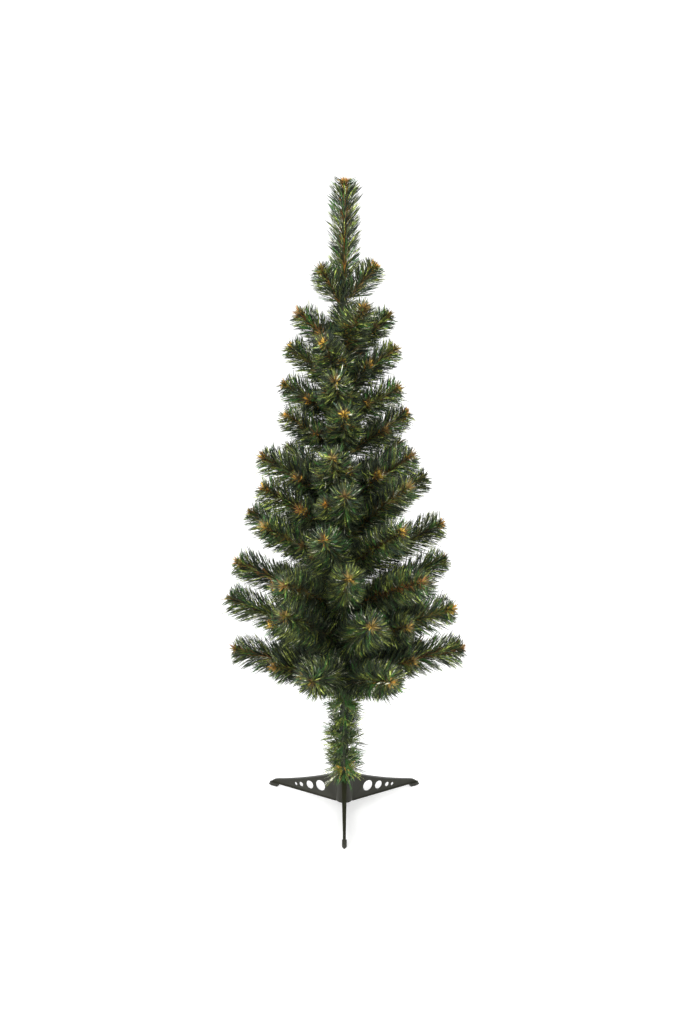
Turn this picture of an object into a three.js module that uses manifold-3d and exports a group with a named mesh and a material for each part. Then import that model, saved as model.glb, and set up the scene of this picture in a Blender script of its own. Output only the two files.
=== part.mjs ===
// A slim artificial Christmas tree on a three-legged plastic stand, without decorations.
// Millimetres, +Z up. The origin is on the floor under the pole, and the front leg points to -Y.
// A heading is an angle round the pole in degrees: 0 points to -Y and 90 to +X.
import * as THREE from "three";
import { mergeVertices } from "three/addons/utils/BufferGeometryUtils.js";
import Module from "manifold-3d";

const wasm = await Module();
wasm.setup();

// Whole tree
const TREE_HEIGHT = 1200;
const GAP = 0.3; // clearance between pieces that touch on the real tree
const CUT_PAST = 1; // how far a cutting solid runs past the face that it opens

// Pole
const POLE_FOOT_RADIUS = 9.5;
const POLE_TIP_RADIUS = 5;
const POLE_TIP_Z = 1020;
const POLE_SIDES = 20;

// Tiers of boughs, from the bottom: where they leave the pole, their length and mean rise, and
// the way that each bough points
const TIERS = [
  { z: 265, length: 223, rise: 16, headings: [-90, -12, 15, 84, 146, 208] },
  { z: 334, length: 221, rise: 25, headings: [-90, -34, 16, 67, 125, 198] },
  { z: 402, length: 208, rise: 28, headings: [-98, -33, 0, 46, 100, 180] },
  { z: 478, length: 198, rise: 29, headings: [-104, -62, -11, 32, 82, 160] },
  { z: 552, length: 178, rise: 32, headings: [-70, 0, 48, 105, 195] },
  { z: 616, length: 166, rise: 33, headings: [-80, -15, 61, 130, 225] },
  { z: 709, length: 134, rise: 37, headings: [-60, 3, 88, 180] },
  { z: 773, length: 118, rise: 36, headings: [-85, -10, 70, 170] },
  { z: 832, length: 116, rise: 37, headings: [-88, -20, 74, 172] },
  { z: 896, length: 102, rise: 42, headings: [-76, 20, 90, 180] },
  { z: 984, length: 72, rise: 55, headings: [-60, 84, 192] },
];
// Degrees by which single boughs rise more than their tier, or less
const BENT_UP = {
  bough_01_1: 1.5,
  bough_01_3: 2,
  bough_02_2: 4.5,
  bough_02_3: 3.5,
  bough_03_3: 8,
  bough_03_5: 3,
  bough_05_3: 6,
  bough_06_2: 3.5,
  bough_06_3: 5,
  bough_11_2: -4,
};
const STAGGER = 5; // neighbours leave the pole this far above and below their tier's height
const TIP_LIFT = -6; // how a bough's rise changes from its root to its tip
const SHORTEST_FORKED = 84; // boughs shorter than this have no side twigs

// Side twigs
const FORK_AT = 0.25;
const FORK_ANGLE = 38;
const FORK_BACK_BEND = 14;
const SIDE_SHARE = [0.5, 0.24]; // of the bough's length, at the floor and at the tree's top
const SIDE_ROOM = 50; // a bough has no twig on a side where the next bough is nearer than this

// How far the seeded draws move each bough and twig
const SEED = 37087;
const HEIGHT_SPREAD = 2;
const HEADING_SPREAD = 3;
const RISE_SPREAD = 3.5;
const LENGTH_SPREAD = 0.05;
const SWING_SPREAD = 9;
const FORK_SPREAD = 0.05;
const FORK_ANGLE_SPREAD = 7;
const SIDE_RISE_SPREAD = 6;
const SIDE_LENGTH_SPREAD = 0.12;

// Needles on a wire
const RING_PITCH = 11.5;
const FEWEST_RINGS = 3;
const RING_SIDES = 4;
const RING_TWIST = 27;
const ROOT_CORE_RADIUS = 3.6;
const TIP_CORE_RADIUS = 2.6;
const CORE_SWELL = 3.6; // how much thicker the core of needle roots is midway
const NEEDLE_LENGTH = [56, 40]; // on wires that start at the floor and at the tree's top
const NEEDLE_LENGTH_SPREAD = 0.1;
const NEEDLE_LEAN = 47; // from the wire towards its tip
const END_STRETCH = 30; // the wire's last stretch, where needles lean out more
const END_LEAN = 62;
const END_DEPTH = 24; // how deep the rounded end of the needles is
const END_FLAT = 1; // half the width of the flat at its front
const TIP_OVERHANG = 7; // how far needles pass the end of their wire
const SHORTEST_NEEDLE = 6;
const SHORTENING = 0.9; // tried again and again on a needle that leaves its own space
const OWN_SPACE_MARGIN = 2.5;
const SAMPLE_PITCH = 8;

// Needles bound on the bare pole, between the stand and the lowest tier
const SLEEVE_BOTTOM_Z = 68;
const SLEEVE_TOP_Z = 238;
const SLEEVE_CORE_RADIUS = 16;
const SLEEVE_REACH = 40;
const SLEEVE_SHORTEST_REACH = 28;
const SLEEVE_SIDES = 10;
const SLEEVE_ROWS = 14;
const SLEEVE_NEEDLE_CLIMB = 14;

// Stand
const HUB_RADIUS = 16;
const HUB_BOTTOM_Z = 9;
const HUB_TOP_Z = 64;
const HUB_FLOOR = 4;
const HUB_BORE_RADIUS = 10;
const HUB_SIDES = 24;
const RIB_WIDTH = 2.6;
const RIB_PROUD = 2;
const RIB_SHORT = 2; // how much a rib stays short of the hub at each end
const SLOT_WIDTH = 4.6;
const SLOT_DEPTH = 3.4;
const NOTCH_WIDTH = 5;
const NOTCH_DEPTH = 4;
const NOTCH_HEADING = 40; // from each leg
const LEG_REACH = 180;
const LEG_HEADINGS = { front: 0, right: 120, left: 240 };
const LEG_CLEAR_OUT = HUB_RADIUS + RIB_PROUD + GAP;
const LEG_WEB = 3.4;
const LEG_CLEARANCE = [3, 6]; // under its lower edge, at the hub and at the foot
const LEG_SHOULDER = { out: 158, up: 16.5 }; // where the leg's upper edge turns down
const LEG_SAG = { out: 85, up: 33 }; // what its hollow upper edge is drawn towards
const TOE_BROW = { out: 173, up: 13 }; // what the rounded toe is drawn towards
const CREST_STEPS = 8;
const TOE_STEPS = 4;
const FLANGE_THICKNESS = 2.4;
const FLANGE_WIDTH = [11.2, 5]; // at the pole's axis and at the toe
const FLANGE_END_Z = 1;
const BEAD_HEIGHT = 1.8;
const BEAD_WIDTH = [6, 6];
const FOOT_LENGTH = 22;
const FOOT_WIDTH = 9;
const FOOT_HEIGHT = 7;
const FOOT_NOSE = 7; // length of the foot's rounded front
const TOE_POINT = 2.5; // how far the toe's point stands out of the foot
const LOCK_HOLE_RADIUS = 2.2;
const LOCK_HOLE_OUT = 23;
const LOCK_HOLE_BOTTOM_Z = 56;
const LOCK_HOLE_SIDES = 10;
const LEG_HOLES = [
  { out: 54.8, up: 26.2, radius: 11.3 },
  { out: 80.2, up: 21.8, radius: 8.7 },
  { out: 100.7, up: 18, radius: 5 },
  { out: 113.3, up: 16, radius: 3.6 },
];

const MATERIALS = {
  tinsel: new THREE.MeshStandardMaterial({ color: 0x39452a, roughness: 0.75 }),
  pole: new THREE.MeshStandardMaterial({ color: 0x2f3524, roughness: 0.6 }),
  stand: new THREE.MeshStandardMaterial({ color: 0x3a3b36, roughness: 0.5 }),
};

const radians = THREE.MathUtils.degToRad;
const lerp = THREE.MathUtils.lerp;

const poleRadius = (z) =>
  lerp(POLE_FOOT_RADIUS, POLE_TIP_RADIUS, z / POLE_TIP_Z);

// Even random numbers from 0 to 1, settled by the seed.
function draws(seed) {
  let state = seed;
  const next = () => {
    state = (state * 48271) % 2147483647;
    return state / 2147483647;
  };
  next();
  next();
  return next;
}

// The unit vector that points along a heading and climbs at a rise.
function direction(heading, rise) {
  const [turn, climb] = [radians(heading), radians(rise)];
  return new THREE.Vector3(
    Math.sin(turn) * Math.cos(climb),
    -Math.cos(turn) * Math.cos(climb),
    Math.sin(climb),
  );
}

// Points and directions along a wire whose heading and rise turn evenly from root to tip.
function walk(wire, steps) {
  const at = (share) =>
    direction(
      wire.heading + wire.swing * share,
      wire.rise + wire.lift * share,
    );
  const places = [{ point: wire.root.clone(), along: at(0) }];
  for (let i = 0; i < steps; i++) {
    const stride = at((i + 0.5) / steps).multiplyScalar(wire.length / steps);
    const point = places[i].point.clone().add(stride);
    places.push({ point, along: at((i + 1) / steps) });
  }
  return places;
}

const stepsOf = (wire) =>
  Math.max(FEWEST_RINGS, Math.round(wire.length / RING_PITCH));

// How far round the pole the next bough of a tier is, on the left or right hand.
function roomBeside(headings, index, hand) {
  const beside = headings.at((index + hand) % headings.length);
  return THREE.MathUtils.euclideanModulo(hand * (beside - headings[index]), 360);
}

// The wires of one bough: its own, and a side twig on each hand where there is room.
function boughWires(tier, index, seed, bentUp) {
  const next = draws(seed);
  const spread = (amount) => (2 * next() - 1) * amount;
  const stagger = index % 2 ? STAGGER : -STAGGER;
  const z = tier.z + stagger + spread(HEIGHT_SPREAD);
  const heading = tier.headings[index] + spread(HEADING_SPREAD);
  const rise = tier.rise + bentUp - TIP_LIFT / 2 + spread(RISE_SPREAD);
  const length = tier.length * (1 + spread(LENGTH_SPREAD));
  const swing = spread(SWING_SPREAD);
  const seat = poleRadius(z) + GAP + ROOT_CORE_RADIUS * Math.sin(radians(rise));
  const root = direction(heading, 0).multiplyScalar(seat).setZ(z);
  const main = { root, heading, rise, lift: TIP_LIFT, swing, length };
  if (length < SHORTEST_FORKED) return [main];
  const free = (hand) => roomBeside(tier.headings, index, hand) > SIDE_ROOM;
  const share = lerp(...SIDE_SHARE, z / TREE_HEIGHT);
  const sides = [-1, 1].filter(free).map((hand) => {
    const fork = FORK_AT + spread(FORK_SPREAD);
    const places = walk(main, stepsOf(main));
    return {
      root: places[Math.round(fork * (places.length - 1))].point,
      heading:
        heading +
        swing * fork +
        hand * (FORK_ANGLE + spread(FORK_ANGLE_SPREAD)),
      rise: rise + TIP_LIFT * fork + spread(SIDE_RISE_SPREAD),
      lift: TIP_LIFT,
      swing: -hand * FORK_BACK_BEND,
      length: length * share * (1 + spread(SIDE_LENGTH_SPREAD)),
    };
  });
  return [main, ...sides];
}

// Every bough by node name, with the leader that carries on from the pole's tip.
function allBoughs() {
  const boughs = {};
  TIERS.forEach((tier, level) => {
    tier.headings.forEach((_, index) => {
      const name = `bough_${String(level + 1).padStart(2, "0")}_${index + 1}`;
      const seed = SEED + 100 * level + index;
      boughs[name] = boughWires(tier, index, seed, BENT_UP[name] ?? 0);
    });
  });
  boughs.leader = [
    {
      root: new THREE.Vector3(0, 0, POLE_TIP_Z + GAP),
      heading: 0,
      rise: 90,
      lift: 0,
      swing: 0,
      length: TREE_HEIGHT - TIP_OVERHANG - POLE_TIP_Z - GAP,
    },
  ];
  return boughs;
}

// A closed skin over rings of equal count, with a fan over each end. The diagonals alternate,
// so that each point of even place can be drawn out to a spike with four faces of its own.
function skin(rings, startCentre, endCentre) {
  const sides = rings[0].length;
  const points = [...rings.flat(), startCentre, endCentre];
  const [start, end] = [points.length - 2, points.length - 1];
  const last = (rings.length - 1) * sides;
  const faces = [];
  for (let j = 0; j < sides; j++) {
    const k = (j + 1) % sides;
    faces.push(start, k, j, end, last + j, last + k);
    for (let i = 0; i < rings.length - 1; i++) {
      const [a, b] = [i * sides + j, i * sides + k];
      const [c, d] = [b + sides, a + sides];
      if ((i + j) % 2 === 0) faces.push(a, b, d, b, c, d);
      else faces.push(a, b, c, a, c, d);
    }
  }
  return new THREE.BufferGeometry().setFromPoints(points).setIndex(faces);
}

// A closed geometry as a solid for cuts and joins, and back.
function solidOf(geometry) {
  const bare = geometry.clone().deleteAttribute("normal").deleteAttribute("uv");
  const merged = mergeVertices(bare, 1e-4);
  return new wasm.Manifold(
    new wasm.Mesh({
      numProp: 3,
      vertProperties: merged.attributes.position.array,
      triVerts: new Uint32Array(merged.index.array),
    }),
  );
}

function geometryOf(solid) {
  const mesh = solid.getMesh();
  const geometry = new THREE.BufferGeometry();
  const position = new THREE.BufferAttribute(mesh.vertProperties, 3);
  geometry.setAttribute("position", position);
  geometry.setIndex(new THREE.BufferAttribute(mesh.triVerts, 1));
  geometry.computeVertexNormals();
  return geometry;
}

// Points along every wire, each with its wire, from which the wires' own spaces are told apart.
function samplesOf(boughs) {
  return Object.values(boughs)
    .flat()
    .flatMap((wire) =>
      walk(wire, Math.ceil(wire.length / SAMPLE_PITCH)).map(({ point }) => ({
        point,
        wire,
      })),
    );
}

const distanceFromPole = (point) => Math.hypot(point.x, point.y);

function clearOfPole(tip) {
  const out = distanceFromPole(tip);
  if (tip.z < SLEEVE_TOP_Z + OWN_SPACE_MARGIN && out < SLEEVE_REACH + 1)
    return false;
  return tip.z > POLE_TIP_Z || out > poleRadius(tip.z) + OWN_SPACE_MARGIN;
}

// The longest needle whose tip lies in the rounded end of its wire's brush.
function lengthAtEnd(full, left, lean) {
  const widest = full * Math.sin(radians(NEEDLE_LEAN));
  for (let length = full; ; length *= SHORTENING) {
    const behind = left + TIP_OVERHANG - length * Math.cos(lean);
    const share = THREE.MathUtils.clamp(1 - behind / END_DEPTH, 0, 1);
    const reach = END_FLAT + widest * Math.sqrt(1 - share ** 2);
    if (length * Math.sin(lean) <= reach) return length;
  }
}

// The longest needle from foot along aim that keeps to its own wire's space, or 0.
function needleLength(foot, aim, wanted, wire, samples) {
  const near = samples.filter(
    (s) => s.point.distanceTo(foot) < 2 * wanted + OWN_SPACE_MARGIN,
  );
  const closest = (tip, mine) =>
    near.reduce(
      (least, s) =>
        (s.wire === wire) === mine
          ? Math.min(least, s.point.distanceTo(tip))
          : least,
      Infinity,
    );
  for (let length = wanted; length > SHORTEST_NEEDLE; length *= SHORTENING) {
    const tip = foot.clone().addScaledVector(aim, length);
    const own = closest(tip, true) + OWN_SPACE_MARGIN;
    if (clearOfPole(tip) && closest(tip, false) > own) return length;
  }
  return 0;
}

// One wire with its needles: a slim four-sided core, twisted as it goes, that needles stand
// out of in four spiral rows, shortened where the next wire's needles begin.
function tinsel(wire, samples, next) {
  const steps = stepsOf(wire);
  const places = walk(wire, steps);
  const rings = places.map(({ point, along }, i) => {
    const level = new THREE.Vector3(0, 0, 1).cross(along);
    if (level.lengthSq() < 1e-6) level.set(1, 0, 0);
    const across = level.normalize();
    const up = along.clone().cross(across);
    const core =
      lerp(ROOT_CORE_RADIUS, TIP_CORE_RADIUS, i / steps) +
      CORE_SWELL * Math.sin((Math.PI * i) / steps);
    const left = (wire.length * (steps - i)) / steps;
    const ending = Math.max(0, 1 - left / END_STRETCH);
    const lean = radians(lerp(NEEDLE_LEAN, END_LEAN, ending));
    const usual = lerp(...NEEDLE_LENGTH, wire.root.z / TREE_HEIGHT);
    return Array.from({ length: RING_SIDES }, (_, j) => {
      const turn = radians((360 / RING_SIDES) * j + RING_TWIST * i);
      const out = across
        .clone()
        .multiplyScalar(Math.cos(turn))
        .addScaledVector(up, Math.sin(turn));
      const surface = point.clone().addScaledVector(out, core);
      if (i === 0 || (i + j) % 2 === 1) return surface;
      const aim = out
        .multiplyScalar(Math.sin(lean))
        .addScaledVector(along, Math.cos(lean));
      const full = usual * (1 + (2 * next() - 1) * NEEDLE_LENGTH_SPREAD);
      const wanted = lengthAtEnd(full, left, lean);
      const length = needleLength(point, aim, wanted, wire, samples);
      return length ? point.clone().addScaledVector(aim, length) : surface;
    });
  });
  const { point: end, along } = places[steps];
  const apex = end.clone().addScaledVector(along, TIP_CORE_RADIUS);
  return solidOf(skin(rings, wire.root, apex));
}

// A bough or the leader: its wire and side twigs with their needles, joined to one solid.
function tinselBough(wires, samples, seed) {
  const next = draws(seed);
  const solids = wires.map((wire) => tinsel(wire, samples, next));
  return geometryOf(solids.reduce((whole, solid) => whole.add(solid)));
}

// A solid turned on the Z axis from a profile of [radius, z] pairs.
function turned(profile, sides) {
  const points = profile.map(([radius, z]) => new THREE.Vector2(radius, z));
  return new THREE.LatheGeometry(points, sides).rotateX(Math.PI / 2);
}

function pole() {
  const foot = HUB_BOTTOM_Z + HUB_FLOOR + GAP;
  return turned(
    [
      [0, foot],
      [poleRadius(foot), foot],
      [POLE_TIP_RADIUS, POLE_TIP_Z],
      [0, POLE_TIP_Z],
    ],
    POLE_SIDES,
  );
}

// The collar of needles bound round the pole under the lowest tier.
function poleSleeve() {
  const next = draws(SEED);
  const height = SLEEVE_TOP_Z - SLEEVE_BOTTOM_Z;
  const rings = Array.from({ length: SLEEVE_ROWS + 1 }, (_, i) => {
    const z = SLEEVE_BOTTOM_Z + (height * i) / SLEEVE_ROWS;
    const rim = i === 0 || i === SLEEVE_ROWS;
    return Array.from({ length: SLEEVE_SIDES }, (_, j) => {
      const spike = !rim && (i + j) % 2 === 0;
      const reach = lerp(SLEEVE_SHORTEST_REACH, SLEEVE_REACH, next());
      const climb = (2 * next() - 1) * SLEEVE_NEEDLE_CLIMB;
      const tipZ = THREE.MathUtils.clamp(
        z + climb,
        SLEEVE_BOTTOM_Z + 1,
        SLEEVE_TOP_Z - 1,
      );
      const point = direction((360 / SLEEVE_SIDES) * j, 0);
      return spike
        ? point.multiplyScalar(reach).setZ(tipZ)
        : point.multiplyScalar(SLEEVE_CORE_RADIUS).setZ(z);
    });
  });
  const whole = skin(
    rings,
    new THREE.Vector3(0, 0, SLEEVE_BOTTOM_Z),
    new THREE.Vector3(0, 0, SLEEVE_TOP_Z),
  );
  const [low, high] = [SLEEVE_BOTTOM_Z - CUT_PAST, SLEEVE_TOP_Z + CUT_PAST];
  const bore = turned(
    [
      [0, low],
      [poleRadius(low) + GAP, low],
      [poleRadius(high) + GAP, high],
      [0, high],
    ],
    POLE_SIDES,
  );
  return geometryOf(solidOf(whole).subtract(solidOf(bore)));
}

// A box that reaches from one distance to another along a heading, between two heights.
function radialBox(heading, inner, outer, width, bottom, top) {
  const box = new THREE.BoxGeometry(width, outer - inner, top - bottom);
  box.translate(0, -(inner + outer) / 2, (bottom + top) / 2);
  return solidOf(box.rotateZ(radians(heading)));
}

// The socket that the pole stands in, with a ribbed slot for each leg and a notch beside it.
function hub() {
  const body = turned(
    [
      [0, HUB_BOTTOM_Z],
      [HUB_RADIUS, HUB_BOTTOM_Z],
      [HUB_RADIUS, HUB_TOP_Z],
      [HUB_BORE_RADIUS, HUB_TOP_Z],
      [HUB_BORE_RADIUS, HUB_BOTTOM_Z + HUB_FLOOR],
      [0, HUB_BOTTOM_Z + HUB_FLOOR],
    ],
    HUB_SIDES,
  );
  const inside = HUB_RADIUS - SLOT_DEPTH;
  const ribbed = SLOT_WIDTH + 2 * RIB_WIDTH;
  return Object.values(LEG_HEADINGS).reduce((whole, heading) => {
    const [low, high] = [HUB_BOTTOM_Z + RIB_SHORT, HUB_TOP_Z - RIB_SHORT];
    const proud = HUB_RADIUS + RIB_PROUD;
    const rib = radialBox(heading, inside, proud, ribbed, low, high);
    const slot = radialBox(
      heading,
      inside,
      proud + CUT_PAST,
      SLOT_WIDTH,
      HUB_BOTTOM_Z - CUT_PAST,
      HUB_TOP_Z + CUT_PAST,
    );
    const notch = radialBox(
      heading + NOTCH_HEADING,
      (HUB_BORE_RADIUS + HUB_RADIUS) / 2,
      HUB_RADIUS + CUT_PAST,
      NOTCH_WIDTH,
      HUB_TOP_Z - NOTCH_DEPTH,
      HUB_TOP_Z + CUT_PAST,
    );
    return whole.add(rib).subtract(slot).subtract(notch);
  }, solidOf(body));
}

// The leg's upper edge from the hub out to the toe, as distance out and height.
function legCrest() {
  const point = ({ out, up }) => new THREE.Vector2(out, up);
  const root = { out: HUB_RADIUS - SLOT_DEPTH + GAP, up: HUB_TOP_Z };
  const toe = { out: LEG_REACH, up: 0 };
  const arch = [root, LEG_SAG, LEG_SHOULDER].map(point);
  const nose = [LEG_SHOULDER, TOE_BROW, toe].map(point);
  return [
    ...new THREE.QuadraticBezierCurve(...arch).getPoints(CREST_STEPS),
    ...new THREE.QuadraticBezierCurve(...nose).getPoints(TOE_STEPS).slice(1),
  ];
}

// A flange along an edge of the leg, of a thickness to the right of the edge's way out, and
// of a width that changes evenly from the pole's axis to the toe.
function legFlange(edge, thickness, widths) {
  const rings = edge.map((p, i) => {
    const before = edge[Math.max(0, i - 1)];
    const after = edge[Math.min(edge.length - 1, i + 1)];
    const tangent = after.clone().sub(before).normalize();
    const inner = p
      .clone()
      .addScaledVector(new THREE.Vector2(tangent.y, -tangent.x), thickness);
    inner.setX(Math.max(inner.x, LEG_CLEAR_OUT));
    const half = lerp(...widths, p.x / LEG_REACH) / 2;
    return [
      new THREE.Vector3(half, -inner.x, inner.y),
      new THREE.Vector3(half, -p.x, p.y),
      new THREE.Vector3(-half, -p.x, p.y),
      new THREE.Vector3(-half, -inner.x, inner.y),
    ];
  });
  const middle = (ring) =>
    ring
      .reduce((sum, p) => sum.add(p), new THREE.Vector3())
      .divideScalar(ring.length);
  return skin(rings, middle(rings[0]), middle(rings.at(-1)));
}

// A leg that points along a heading: a web with four round holes, a flange on its upper edge,
// a bead on its lower edge, a flat pad under its toe and a lock hole beside the hub.
function leg(heading) {
  const crest = legCrest();
  const root = crest[0];
  const footStart = LEG_REACH - FOOT_LENGTH;
  const sole = [
    new THREE.Vector2(footStart, LEG_CLEARANCE[1]),
    new THREE.Vector2(LEG_CLEAR_OUT, LEG_CLEARANCE[0]),
  ];
  const outline = new THREE.Shape([
    new THREE.Vector2(root.x, LEG_CLEARANCE[0]),
    ...sole.toReversed(),
    new THREE.Vector2(footStart, 0),
    ...crest.toReversed(),
  ]);
  for (const { out, up, radius } of LEG_HOLES) {
    const hole = new THREE.Path().absarc(out, up, radius, 0, 2 * Math.PI, true);
    outline.holes.push(hole);
  }
  const web = new THREE.ExtrudeGeometry(outline, {
    depth: LEG_WEB,
    bevelEnabled: false,
    curveSegments: 8,
  });
  // The outline's plane becomes the upright plane through the pole, facing -Y.
  web.translate(0, 0, -LEG_WEB / 2).rotateX(Math.PI / 2).rotateZ(-Math.PI / 2);
  const outside = crest.filter(
    (p) => p.x > LEG_CLEAR_OUT && p.y > FLANGE_END_Z,
  );
  const slope = (outside[0].y - root.y) / (outside[0].x - root.x);
  const startZ = root.y + slope * (LEG_CLEAR_OUT - root.x);
  const ridge = [new THREE.Vector2(LEG_CLEAR_OUT, startZ), ...outside];
  const noseStart = LEG_REACH - TOE_POINT - FOOT_NOSE;
  const plan = new THREE.Shape()
    .moveTo(FOOT_WIDTH / 2, footStart)
    .lineTo(FOOT_WIDTH / 2, noseStart)
    .absellipse(0, noseStart, FOOT_WIDTH / 2, FOOT_NOSE, 0, Math.PI)
    .lineTo(-FOOT_WIDTH / 2, footStart);
  const pad = new THREE.ExtrudeGeometry(plan, {
    depth: FOOT_HEIGHT,
    bevelEnabled: false,
    curveSegments: 8,
  }).rotateZ(Math.PI);
  const lockHole = turned(
    [
      [0, LOCK_HOLE_BOTTOM_Z],
      [LOCK_HOLE_RADIUS, LOCK_HOLE_BOTTOM_Z],
      [LOCK_HOLE_RADIUS, HUB_TOP_Z + CUT_PAST],
      [0, HUB_TOP_Z + CUT_PAST],
    ],
    LOCK_HOLE_SIDES,
  ).translate(0, -LOCK_HOLE_OUT, 0);
  const solid = solidOf(web)
    .add(solidOf(legFlange(ridge, FLANGE_THICKNESS, FLANGE_WIDTH)))
    .add(solidOf(legFlange(sole, BEAD_HEIGHT, BEAD_WIDTH)))
    .add(solidOf(pad))
    .subtract(solidOf(lockHole));
  return geometryOf(solid).rotateZ(radians(heading));
}

function named(name, geometry, material) {
  const mesh = new THREE.Mesh(geometry, material);
  mesh.name = name;
  return mesh;
}

const stand = new THREE.Group();
stand.add(named("stand_hub", geometryOf(hub()), MATERIALS.stand));
for (const [side, heading] of Object.entries(LEG_HEADINGS))
  stand.add(named(`stand_leg_${side}`, leg(heading), MATERIALS.stand));

const crown = new THREE.Group();
const boughs = allBoughs();
const samples = samplesOf(boughs);
Object.entries(boughs).forEach(([name, wires], i) => {
  const geometry = tinselBough(wires, samples, SEED + 1 + i);
  crown.add(named(name, geometry, MATERIALS.tinsel));
});

const tree = new THREE.Group();
tree.add(stand, crown);
tree.add(named("pole", pole(), MATERIALS.pole));
tree.add(named("pole_sleeve", poleSleeve(), MATERIALS.tinsel));

export default tree;
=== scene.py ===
import math

import bmesh
import bpy
import numpy as np
from mathutils import Matrix, Vector


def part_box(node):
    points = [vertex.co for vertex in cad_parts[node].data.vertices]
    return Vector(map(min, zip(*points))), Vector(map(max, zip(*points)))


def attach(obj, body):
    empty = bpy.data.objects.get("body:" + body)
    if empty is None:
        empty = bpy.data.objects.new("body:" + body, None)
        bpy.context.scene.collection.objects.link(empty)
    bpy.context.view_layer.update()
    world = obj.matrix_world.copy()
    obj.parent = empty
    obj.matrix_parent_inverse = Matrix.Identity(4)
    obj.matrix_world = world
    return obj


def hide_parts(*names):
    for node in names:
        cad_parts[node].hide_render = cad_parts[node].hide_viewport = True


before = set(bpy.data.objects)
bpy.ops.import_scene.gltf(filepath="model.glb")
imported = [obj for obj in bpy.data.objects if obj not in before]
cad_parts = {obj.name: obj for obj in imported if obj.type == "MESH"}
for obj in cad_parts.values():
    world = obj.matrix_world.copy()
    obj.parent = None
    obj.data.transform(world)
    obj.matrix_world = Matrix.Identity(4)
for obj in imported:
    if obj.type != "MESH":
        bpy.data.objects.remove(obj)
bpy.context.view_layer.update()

MM = 0.001
UP = np.array((0, 0, 1))

# Whole tree and pole
TREE_HEIGHT = 1200
GAP = 0.3  # clearance between pieces that touch on the real tree
POLE_FOOT_RADIUS = 9.5
POLE_TIP_RADIUS = 5
POLE_TIP_Z = 1020

# Tiers of boughs, from the bottom: where they leave the pole, their length and mean rise, and
# the way that each bough points
TIERS = [
    (265, 223, 16, (-90, -12, 15, 84, 146, 208)),
    (334, 221, 25, (-90, -34, 16, 67, 125, 198)),
    (402, 208, 28, (-98, -33, 0, 46, 100, 180)),
    (478, 198, 29, (-104, -62, -11, 32, 82, 160)),
    (552, 178, 32, (-70, 0, 48, 105, 195)),
    (616, 166, 33, (-80, -15, 61, 130, 225)),
    (709, 134, 37, (-60, 3, 88, 180)),
    (773, 118, 36, (-85, -10, 70, 170)),
    (832, 116, 37, (-88, -20, 74, 172)),
    (896, 102, 42, (-76, 20, 90, 180)),
    (984, 72, 55, (-60, 84, 192)),
]
# Degrees by which single boughs rise more than their tier, or less
BENT_UP = {
    "bough_01_1": 1.5,
    "bough_01_3": 2,
    "bough_02_2": 4.5,
    "bough_02_3": 3.5,
    "bough_03_3": 8,
    "bough_03_5": 3,
    "bough_05_3": 6,
    "bough_06_2": 3.5,
    "bough_06_3": 5,
    "bough_11_2": -4,
}
STAGGER = 5  # neighbours leave the pole this far above and below their tier's height
TIP_LIFT = -6  # how a bough's rise changes from its root to its tip
SHORTEST_FORKED = 84  # boughs shorter than this have no side twigs

# Side twigs
FORK_AT = 0.25
FORK_ANGLE = 38
FORK_BACK_BEND = 14
SIDE_SHARE = (0.5, 0.24)  # of the bough's length, at the floor and at the tree's top
SIDE_ROOM = 50  # a bough has no twig on a side where the next bough is nearer than this

# How far the seeded draws move each bough and twig
SEED = 37087
SEEDS_A_TIER = 100
DRAW_FACTOR = 48271
DRAW_MODULUS = 2147483647
HEIGHT_SPREAD = 2
HEADING_SPREAD = 3
RISE_SPREAD = 3.5
LENGTH_SPREAD = 0.05
SWING_SPREAD = 9
FORK_SPREAD = 0.05
FORK_ANGLE_SPREAD = 7
SIDE_RISE_SPREAD = 6
SIDE_LENGTH_SPREAD = 0.12

# Steps along a wire
FEWEST_STEPS = 3
RING_PITCH = 11.5  # of the solids' rings, from one of which each side twig leaves
ROOT_CORE_RADIUS = 3.6  # of the solids' boughs, which stand clear of the pole by it
COURSE_PITCH = 6
LEAST_LEVEL = 1e-6  # a wire that leans out less than this counts as upright

# Long needles on the wires. The wire's twist sets them in two spiral rows, and in each row
# they lie in sprays of a few that point almost the same way.
NEEDLES_PER_MM = 6.3
SPRAY = 3
TWIST_PITCH = 17
TWIST_ROWS = 2
ROW_JITTER = 9
LOOSE_SHARE = 0.1  # of the sprays keep to no row
NEEDLE_LENGTH = (56, 40)  # on wires that start at the floor and at the tree's top
NEEDLE_LENGTH_SPREAD = 0.13
LONG_SHARE = 0.07  # of the needles are longer than the rest
LONG_FACTOR = 1.2
NEEDLE_LEAN = 47  # from the wire towards its tip
LEAN_LIMITS = (15, 84)
SPRAY_LEAN_JITTER = 5
NEEDLE_LEAN_JITTER = 3
NEEDLE_TURN_JITTER = 6
NEEDLE_PLACE_JITTER = 0.8
NEEDLE_HALF_WIDTH = 0.62
NEEDLE_WIDTH_SPREAD = (0.8, 1.2)
NEEDLE_BEND = 2.6  # how far off its straight line a needle's tip is, at most
END_STRETCH = 30  # the wire's last stretch, where needles lean out more
END_LEAN = 62
END_DEPTH = 24  # how deep the rounded end of the brush is
END_FLAT = 1  # half the width of the flat at its front
END_JITTER = 4.5
TIP_OVERHANG = 7  # how far needles pass the end of their wire
SHORTEST_NEEDLE = 6
SHORTENING = 0.93  # done again and again to a needle that leaves the rounded end
POLE_CHECKS = (0.3, 0.6, 1)  # places along a needle that have to be clear of the pole
POLE_ROOM = 1

# A needle's shape
NEEDLE_RIDGE = 0.6  # height of its fold against half its width
NEEDLE_ROOT = 0.7  # width of its root against its middle
NEEDLE_MIDDLE = 0.8  # where it starts to taper, as a share of its length

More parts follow.
